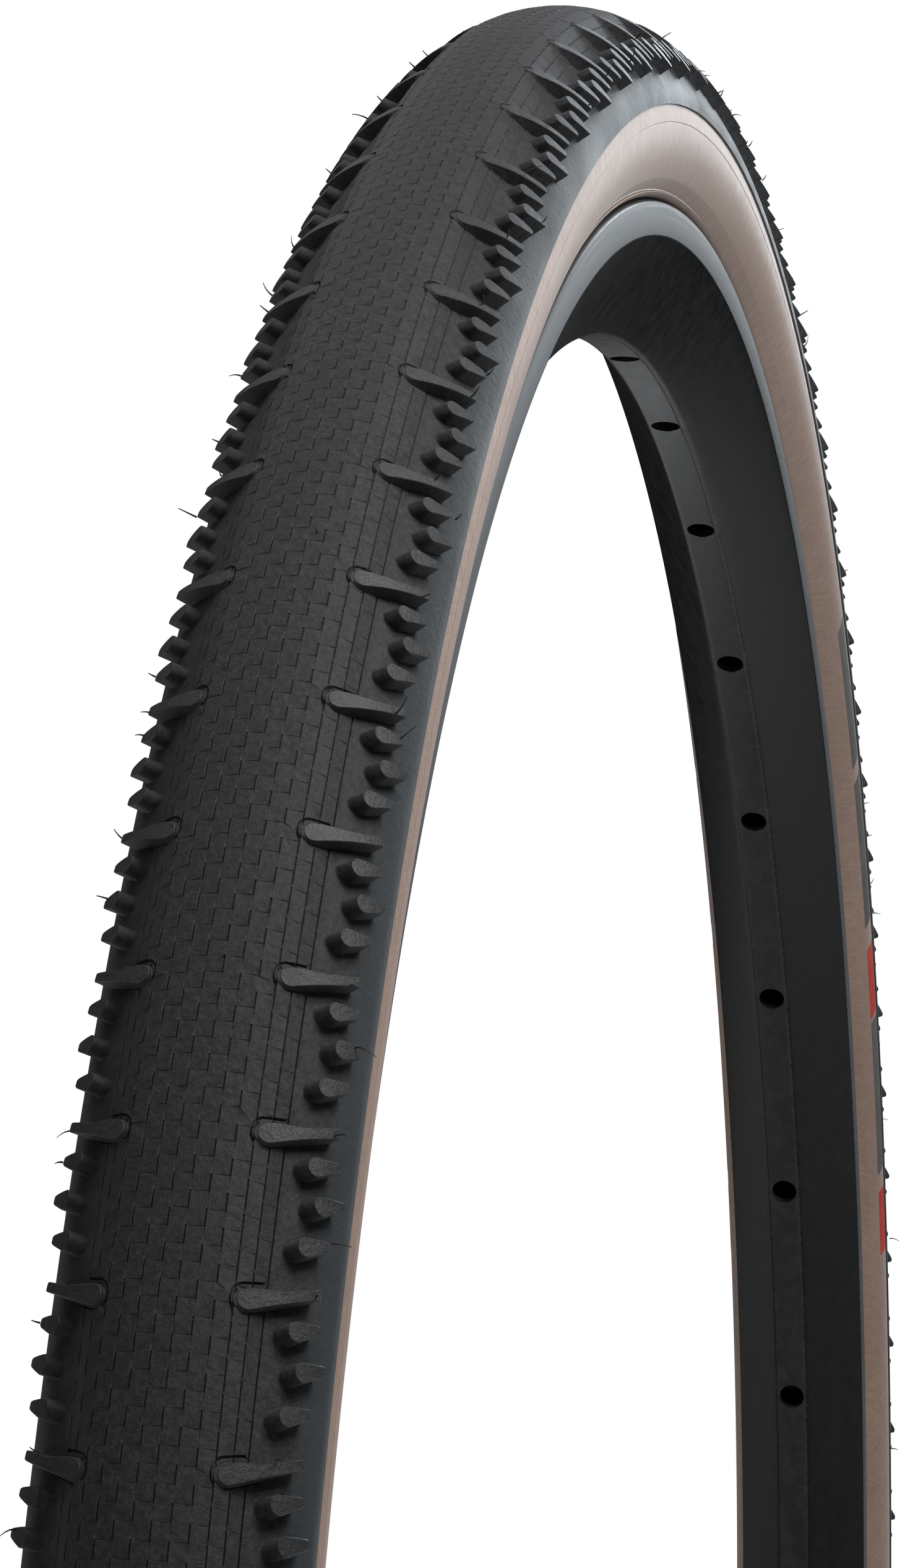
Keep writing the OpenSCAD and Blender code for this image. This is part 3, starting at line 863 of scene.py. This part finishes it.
def rim_outline():
    """The outside's left half, from the middle of the tyre bed to the nose."""
    flange_round = (RIM_HALF_W - INNER_HALF_W) / 2
    flange = (FLANGE_R - flange_round, RIM_HALF_W - flange_round)
    lean = math.atan2(TRACK_FOOT[1] - NOSE_HALF_W, TRACK_FOOT[0] - RIM_NOSE_R) / DEG
    edge = (RIM_NOSE_R + NOSE_ROUND, NOSE_HALF_W - 0.5 * NOSE_ROUND)
    half = [(CHANNEL_R, 0.0), (CHANNEL_R, 4.6), (311.4, 6.3), (SEAT_R, 6.9),
            (SEAT_R, 11.0), (SEAT_R + 0.3, INNER_HALF_W)]
    half += arc(flange, flange_round, -90, 90, 10)
    half += [(TRACK_FOOT[0] + 0.25, TRACK_FOOT[1] + 0.005), (TRACK_FOOT[0], 14.1),
             (TRACK_FOOT[0] - 0.3, 13.94)]
    knee = arc(edge, NOSE_ROUND, 90 + lean, 180, 5)
    start, end = np.array(half[-1]), np.array(knee[0])
    bulge = 0.15
    for t in np.linspace(0, 1, 9)[1:-1]:
        half.append((start[0] + (end[0] - start[0]) * t,
                     start[1] + (end[1] - start[1]) * t + bulge * math.sin(math.pi * t)))
    return half + knee + [(RIM_NOSE_R, 0.0)]


def holed_ring(half, holes_near, holes_far, first, span):
    """A closed section turned through a span, with round holes at its two middles.

    half is the section's left half. holes_near are at its first point, holes_far at its
    last, each as (angle, radius). Returns points, triangles and each hole's edge.
    """
    whole = half + mirrored(half[1:-1])
    ring = np.array(whole + [whole[0]])
    along = np.concatenate([[0], np.cumsum(np.linalg.norm(np.diff(ring, axis=0), axis=1))])
    total = along[-1]
    middle = along[len(half) - 1]
    start_v = total / 4
    flat_reach = 300  # the sheet is drawn as if it lay at this distance from the axle
    scale = flat_reach * DEG
    height = span * scale

    def place(v, theta):
        v = np.mod(np.asarray(v) + start_v, total)
        return on_wheel(np.interp(v, along, ring[:, 0]), np.interp(v, along, ring[:, 1]),
                        np.asarray(theta) + first)

    holes = [(total - start_v, t, r, half[0][0]) for t, r in holes_near] \
        + [(middle - start_v, t, r, half[-1][0]) for t, r in holes_far]
    loops, keep_out, centres = [], [], []
    for v, theta, radius, reach in holes:
        turn = np.linspace(0, 2 * math.pi, HOLE_SIDES + 1)[:-1]
        stretch = flat_reach / reach
        centre = (v, (theta - first) * scale)
        centres.append((centre, radius, stretch))
        loops.append([(centre[0] + radius * math.cos(a),
                       centre[1] + radius * stretch * math.sin(a)) for a in turn])
        for more in (1.12, 1.3):
            keep_out += [(centre[0] + radius * more * math.cos(a),
                          centre[1] + radius * more * math.sin(a)) for a in turn]
    rows = np.linspace(0, height, round(span * 2) + 1)
    stations = np.mod(along[:-1] - start_v, total)
    grid = []
    for v in list(stations) + [0.0, total]:
        for t in rows:
            if all((v - c[0]) ** 2 + (t - c[1]) ** 2 > (radius * 1.4) ** 2
                   for c, radius, _ in centres):
                grid.append((v, t))
    points, faces = cut_sheet(total, height, [], loops, grid + keep_out)
    middles = points[faces].mean(axis=1)
    solid = np.ones(len(faces), bool)
    for centre, radius, stretch in centres:
        gap = np.hypot(middles[:, 0] - centre[0], (middles[:, 1] - centre[1]) / stretch)
        solid &= gap > radius * 0.985
    rings = [place([p[0] for p in loop], [p[1] / scale for p in loop]) for loop in loops]
    return place(points[:, 0], points[:, 1] / scale), faces[solid], rings


def rim():
    """Hollow rim: outer skin, cavity and the walls of every hole between them."""
    outside = rim_outline()
    cavity_top = SEAT_R - RIM_WALL - 0.2
    inside = [(CHANNEL_R - RIM_WALL, 0.0), (CHANNEL_R - RIM_WALL, 4.5), (cavity_top, 6.9),
              (cavity_top, INNER_HALF_W), (300.5, 6.6), (RIM_NOSE_R + RIM_WALL, 3.1),
              (RIM_NOSE_R + RIM_WALL, 0.0)]
    points, faces, start = [], [], 0
    pitch = 360 / SPOKE_HOLES
    spans = [(k * pitch, pitch) for k in range(SPOKE_HOLES)
             if not VALVE_ANGLE - 1.5 * pitch < k * pitch < VALVE_ANGLE + pitch / 2]
    spans.append((VALVE_ANGLE - pitch, 2 * pitch))
    for first, span in spans:
        spokes = [first + pitch * (k + 0.5) for k in range(round(span / pitch))]
        near = [(a, ACCESS_HOLE_R) for a in spokes]
        far = [(a, SPOKE_HOLE_R) for a in spokes]
        if span > pitch:
            near.append((VALVE_ANGLE, VALVE_HOLE_R))
            far.append((VALVE_ANGLE, VALVE_HOLE_R))
        skins = []
        for half, flip in ((outside, False), (inside, True)):
            some, tris, rings = holed_ring(half, near, far, first, span)
            points.append(some)
            faces.append((tris[:, ::-1] if flip else tris) + start)
            start += len(some)
            skins.append(rings)
        for outer_ring, inner_ring in zip(*skins):
            count = len(outer_ring)
            points += [outer_ring, inner_ring]
            i = np.arange(count)
            j = (i + 1) % count
            quads = np.stack([i, j, j + count, i + count], -1)
            faces.append(quads[:, [0, 1, 2]] + start)
            faces.append(quads[:, [0, 2, 3]] + start)
            start += 2 * count
    piece = make_piece("rim_shell", *welded(np.concatenate(points), np.concatenate(faces)),
                       "rim_carbon", "wheel", "rim", smooth_under=30)
    reach = np.array([np.hypot(p.center.x, p.center.z) for p in piece.data.polygons])
    side = np.array([abs(p.center.y) for p in piece.data.polygons])
    # Faces on the band get the lighter grey, partly a painted reflection
    track = (reach > TRACK_INSIDE) & (reach < TRACK_OUTSIDE) & (side > TRACK_HALF_W)
    # Faces of the nose get the lighter carbon, a painted highlight
    nose = (reach < (RIM_NOSE_R + NOSE_ROUND) * MM) & (side < NOSE_HALF_W * MM)
    paint_faces(piece, track + 2 * nose, TRACK_PAINTED_SHEEN, NOSE_PAINTED_HIGHLIGHT)


def tape():
    half = [(CHANNEL_R, 4.6), (311.4, 6.3), (SEAT_R, 6.9), (SEAT_R, INNER_HALF_W - 0.05)]
    over = [(r + TAPE_T, y) for r, y in half]
    section = mirrored(half) + half + over[::-1] + mirrored(over[::-1])
    make_piece("tape_strip", *turned(section[::-1], closed=True), "tape_film", "wheel",
               "rim_tape")


# ---- valve

def spun(profile, sides=64, flutes=0, flute_depth=0.0, flat_half=None):
    """A closed profile of (radius, distance from the wheel's axle, fluted share)."""
    profile = [(p + (0.0,))[:3] for p in profile]
    turn = np.arange(sides) * 2 * math.pi / sides
    wave = 0.5 - 0.5 * np.cos(turn * flutes) if flutes else 0 * turn
    points = []
    for radius, reach, share in profile:
        r = radius - flute_depth * share * (1 - wave) ** 2
        x, y = r * np.cos(turn), r * np.sin(turn)
        if flat_half:
            y = np.clip(y, -flat_half, flat_half)
        points.append(np.stack([x, y, np.full(sides, -reach)], -1))
    count = len(profile)
    faces = []
    for k in range(count):
        n = (k + 1) % count
        for i in range(sides):
            j = (i + 1) % sides
            faces.append([k * sides + i, n * sides + i, n * sides + j, k * sides + j])
    return np.concatenate(points), faces


def threaded(outer, root, far, near, pitch, sides=48):
    """An outside thread as an open skin, from far to near along the valve's axis."""
    steps = 4
    rows = int((far - near) / pitch * steps) + steps + 2
    points = []
    for row in range(rows):
        for j in range(sides):
            reach = far - (row - steps + j * steps / sides) * pitch / steps
            crest = row % steps in (1, 2)
            reach_cut = min(max(reach, near), far)
            angle = 2 * math.pi * j / sides
            radius = outer if crest else root
            points.append((radius * math.cos(angle), radius * math.sin(angle), -reach_cut))
    faces = []
    for row in range(rows - 1):
        for j in range(sides - 1):
            a = row * sides + j
            faces.append([a, a + sides, a + sides + 1, a + 1])
    for row in range(rows - 1 - steps):
        a, b = row * sides + sides - 1, (row + steps) * sides
        if b + sides < len(points):
            faces.append([a, a + sides, b + sides, b])
    return np.array(points), faces


def valve():
    base_foot = CHANNEL_R + TAPE_T
    make_piece("valve_base_moulded", *spun([
        (3.05, base_foot), (4.1, base_foot), (4.35, base_foot + 0.5), (5.3, 310.2),
        (5.5, 310.6), (5.5, 312.0), (5.25, 312.28), (4.05, 312.28), (4.05, 311.35),
        (3.05, 311.35)]), "seal_rubber", "wheel", "valve_base", smooth_under=35)
    stem = [spun([(2.0, 312.3), (3.8, 312.3), (4.0, 312.1), (4.0, 311.3), (3.0, 311.3),
                  (2.72, 306.0), (2.72, 266.2), (2.5, 266.0), (2.0, 266.0)]),
            threaded(3.0, 2.74, 307.5, 266.3, 0.8)]
    make_piece("valve_stem_threaded", *joined(stem), "stem_metal", "wheel", "valve_stem",
               smooth_under=50)
    core = [spun([(0.97, 278.0), (1.7, 278.0), (1.95, 277.6), (1.95, 266.0), (1.5, 266.0),
                  (1.5, 272.0), (0.97, 272.0)]),
            spun([(1.5, 266.1), (2.35, 266.1), (2.55, 265.8), (2.55, 260.6), (2.3, 260.2),
                  (1.2, 260.0), (0.97, 260.2), (0.97, 262.0), (1.5, 262.0)],
                 flat_half=2.25)]
    make_piece("valve_core_turned", *joined(core), "core_brass", "wheel",
               "valve_core_body", smooth_under=35)
    make_piece("valve_pin_turned", *spun([
        (0.02, 280.6), (1.2, 280.6), (1.35, 280.45), (1.35, 279.8), (0.88, 279.8),
        (0.88, 263.0), (1.35, 263.0), (1.35, 262.1), (0.88, 262.1), (0.88, 254.3),
        (0.7, 253.95), (0.02, 253.9)], sides=40), "core_brass", "pin_body",
        "valve_pin", smooth_under=35)
    make_piece("valve_nut_knurled", *spun([
        (0.97, 257.8), (1.7, 257.8), (2.0, 257.5, 1.0), (2.0, 254.9, 1.0), (1.7, 254.6),
        (0.97, 254.6)], sides=96, flutes=12, flute_depth=0.24), "core_brass", "pin_nut",
        "valve_nut", smooth_under=30)
    make_piece("lock_nut_knurled", *spun([
        (3.07, 292.1), (5.3, 292.1), (5.65, 291.95), (6.0, 291.55, 1.0),
        (6.0, 288.65, 1.0), (5.65, 288.25), (5.3, 288.1), (3.35, 288.1), (3.07, 288.35)],
        sides=192, flutes=24, flute_depth=0.42), "nut_metal", "lock_nut_body",
        "lock_nut", smooth_under=30)
    ring = [(3.9 + 0.8 * math.cos(a), 292.9 + 0.8 * math.sin(a))
            for a in np.linspace(0, 2 * math.pi, 17)[:-1]]
    make_piece("lock_ring_round", *spun(ring), "seal_rubber", "lock_nut_body",
               "lock_ring", smooth_under=60)
    make_piece("valve_cap_ribbed", *spun([
        (3.07, 269.8), (3.3, 270.0), (3.75, 270.0), (3.9, 269.8, 0.0), (3.9, 269.2, 1.0),
        (3.9, 265.6, 1.0), (3.72, 265.2), (3.5, 265.0), (3.25, 251.3), (3.1, 250.8),
        (2.7, 250.5), (0.02, 250.4), (0.02, 251.8), (2.8, 251.8), (2.8, 265.0),
        (3.07, 265.0)], sides=144, flutes=18, flute_depth=0.22), "cap_plastic",
        "cap_body", "valve_cap", smooth_under=32)


def spring_coil():
    """The valve core's spring, as one fixed coil; the real one shortens as the pin goes in."""
    turns, steps, sides = 7, 24, 10
    coil_r, wire_r, foot, rise = 1.17, 0.12, -271.88, 8.76
    around = np.arange(sides) * 2 * math.pi / sides
    rings = turns * steps
    points = []
    for i in range(rings + 1):
        turn = i * 2 * math.pi / steps
        out = coil_r + wire_r * np.cos(around)
        points.append(np.column_stack([out * math.cos(turn), out * math.sin(turn),
                                       foot + rise * i / rings + wire_r * np.sin(around)]))
    faces = [list(range(sides)), [rings * sides + k for k in reversed(range(sides))]]
    faces += [face[::-1] for face in tube_faces(rings + 1, sides)]
    piece = make_piece("valve_spring_coil", np.concatenate(points), faces, "spring_steel",
                       "wheel", "valve_spring", smooth_under=60)
    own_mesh(piece)


# ---- the other CAD nodes

CAD_FINISH = {
    "puncture_belt": "belt_cord", "outer_ply": "casing_cord", "inner_ply": "casing_cord",
    "inner_liner": "liner_rubber", "bead_core_left": "bead_cord",
    "bead_core_right": "bead_cord", "bead_filler_left": "liner_rubber",
    "bead_filler_right": "liner_rubber", "bead_strip_left": "bead_cloth",
    "bead_strip_right": "bead_cloth", "valve_seal": "seal_rubber",
}


def finish_cad_nodes():
    for name, slot_name in CAD_FINISH.items():
        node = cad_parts[name]
        node.data.materials.clear()
        node.data.materials.append(MATERIALS[slot_name])


# ---- room and camera

# Metres, degrees and millimetres of lens
CAMERA_PLACE = (-0.94121, -0.15483, 0.21640)
CAMERA_YAW = 10.894
CAMERA_PITCH = -0.065
CAMERA_ROLL = 0.645
LENS = 123.95

# The sky lights from this height up, from a low strength to a high one overhead
SKY_FROM = 0.25
SKY_LOW = 0.014
SKY_HIGH = 0.75
FLOOR_Z = -0.3501
FLOOR_R = 2.5
FLOOR_SIDES = 96


def camera():
    yaw, pitch, roll = CAMERA_YAW * DEG, CAMERA_PITCH * DEG, CAMERA_ROLL * DEG
    ahead = Vector((math.cos(yaw) * math.cos(pitch), math.sin(yaw) * math.cos(pitch),
                    math.sin(pitch)))
    right = ahead.cross(Vector((0, 0, 1))).normalized()
    up = right.cross(ahead)
    x_way = math.cos(roll) * right + math.sin(roll) * up
    y_way = -math.sin(roll) * right + math.cos(roll) * up
    data = bpy.data.cameras.new("camera")
    data.lens = LENS
    data.sensor_width = 36
    data.clip_start = 0.01
    made = bpy.data.objects.new("camera", data)
    turn = Matrix((x_way, y_way, -ahead)).transposed().to_4x4()
    made.matrix_world = Matrix.Translation(CAMERA_PLACE) @ turn
    bpy.context.scene.collection.objects.link(made)
    bpy.context.scene.camera = made


def area_light(name, place, target, size, power, colour=(1, 1, 1)):
    data = bpy.data.lights.new(name, "AREA")
    data.shape = "RECTANGLE"
    data.size, data.size_y = size
    data.energy = power
    data.color = colour
    made = bpy.data.objects.new(name, data)
    made.location = place
    made.visible_camera = False
    made.rotation_euler = (Vector(target) - Vector(place)).to_track_quat("-Z", "Y") \
        .to_euler()
    bpy.context.scene.collection.objects.link(made)


def room():
    """White surroundings, soft light from above and a pale floor under the wheel."""
    world = bpy.data.worlds.new("studio")
    bpy.context.scene.world = world
    world.use_nodes = True
    nodes, links = world.node_tree.nodes, world.node_tree.links
    seen = nodes["Background"]
    seen.inputs["Color"].default_value = (1, 1, 1, 1)
    lighting = nodes.new("ShaderNodeBackground")
    place = nodes.new("ShaderNodeTexCoord")
    height = nodes.new("ShaderNodeSeparateXYZ")
    glow = nodes.new("ShaderNodeMapRange")
    for socket, number in zip(glow.inputs[1:5], (SKY_FROM, 1.0, SKY_LOW, SKY_HIGH)):
        socket.default_value = number
    path = nodes.new("ShaderNodeLightPath")
    choice = nodes.new("ShaderNodeMixShader")
    links.new(place.outputs["Generated"], height.inputs[0])
    links.new(height.outputs["Z"], glow.inputs["Value"])
    links.new(glow.outputs[0], lighting.inputs["Strength"])
    links.new(path.outputs["Is Camera Ray"], choice.inputs["Fac"])
    links.new(lighting.outputs[0], choice.inputs[1])
    links.new(seen.outputs[0], choice.inputs[2])
    links.new(choice.outputs[0], nodes["World Output"].inputs["Surface"])
    bpy.context.scene.view_settings.view_transform = "Standard"
    area_light("key_soft", (-0.3, -0.4, 0.7), (0, 0, 0.34), (0.34, 0.34), 3.6)
    area_light("rear_panel", (1.9, -0.35, 0.85), (0, 0, 0.33), (0.9, 0.8), 15,
               (0.88, 0.95, 1.0))

    edge = [(FLOOR_R * math.cos(a), FLOOR_R * math.sin(a), FLOOR_Z)
            for a in np.linspace(0, 2 * math.pi, FLOOR_SIDES + 1)[:-1]]
    mesh = bpy.data.meshes.new("floor")
    mesh.from_pydata(edge, [], [list(range(FLOOR_SIDES))])
    mesh.materials.append(floor_paint())
    floor = bpy.data.objects.new("floor", mesh)
    bpy.context.scene.collection.objects.link(floor)


tread_cap()
for side, word in ((-1, "right"), (1, "left")):
    for kind in KNOBS:
        knob_row(kind, side, f"{kind}_knobs_{word}")
    sidewall(side, f"sidewall_{word}")
moulding_hairs()
labels()
rim()
tape()
valve()
spring_coil()
finish_cad_nodes()
room()
camera()
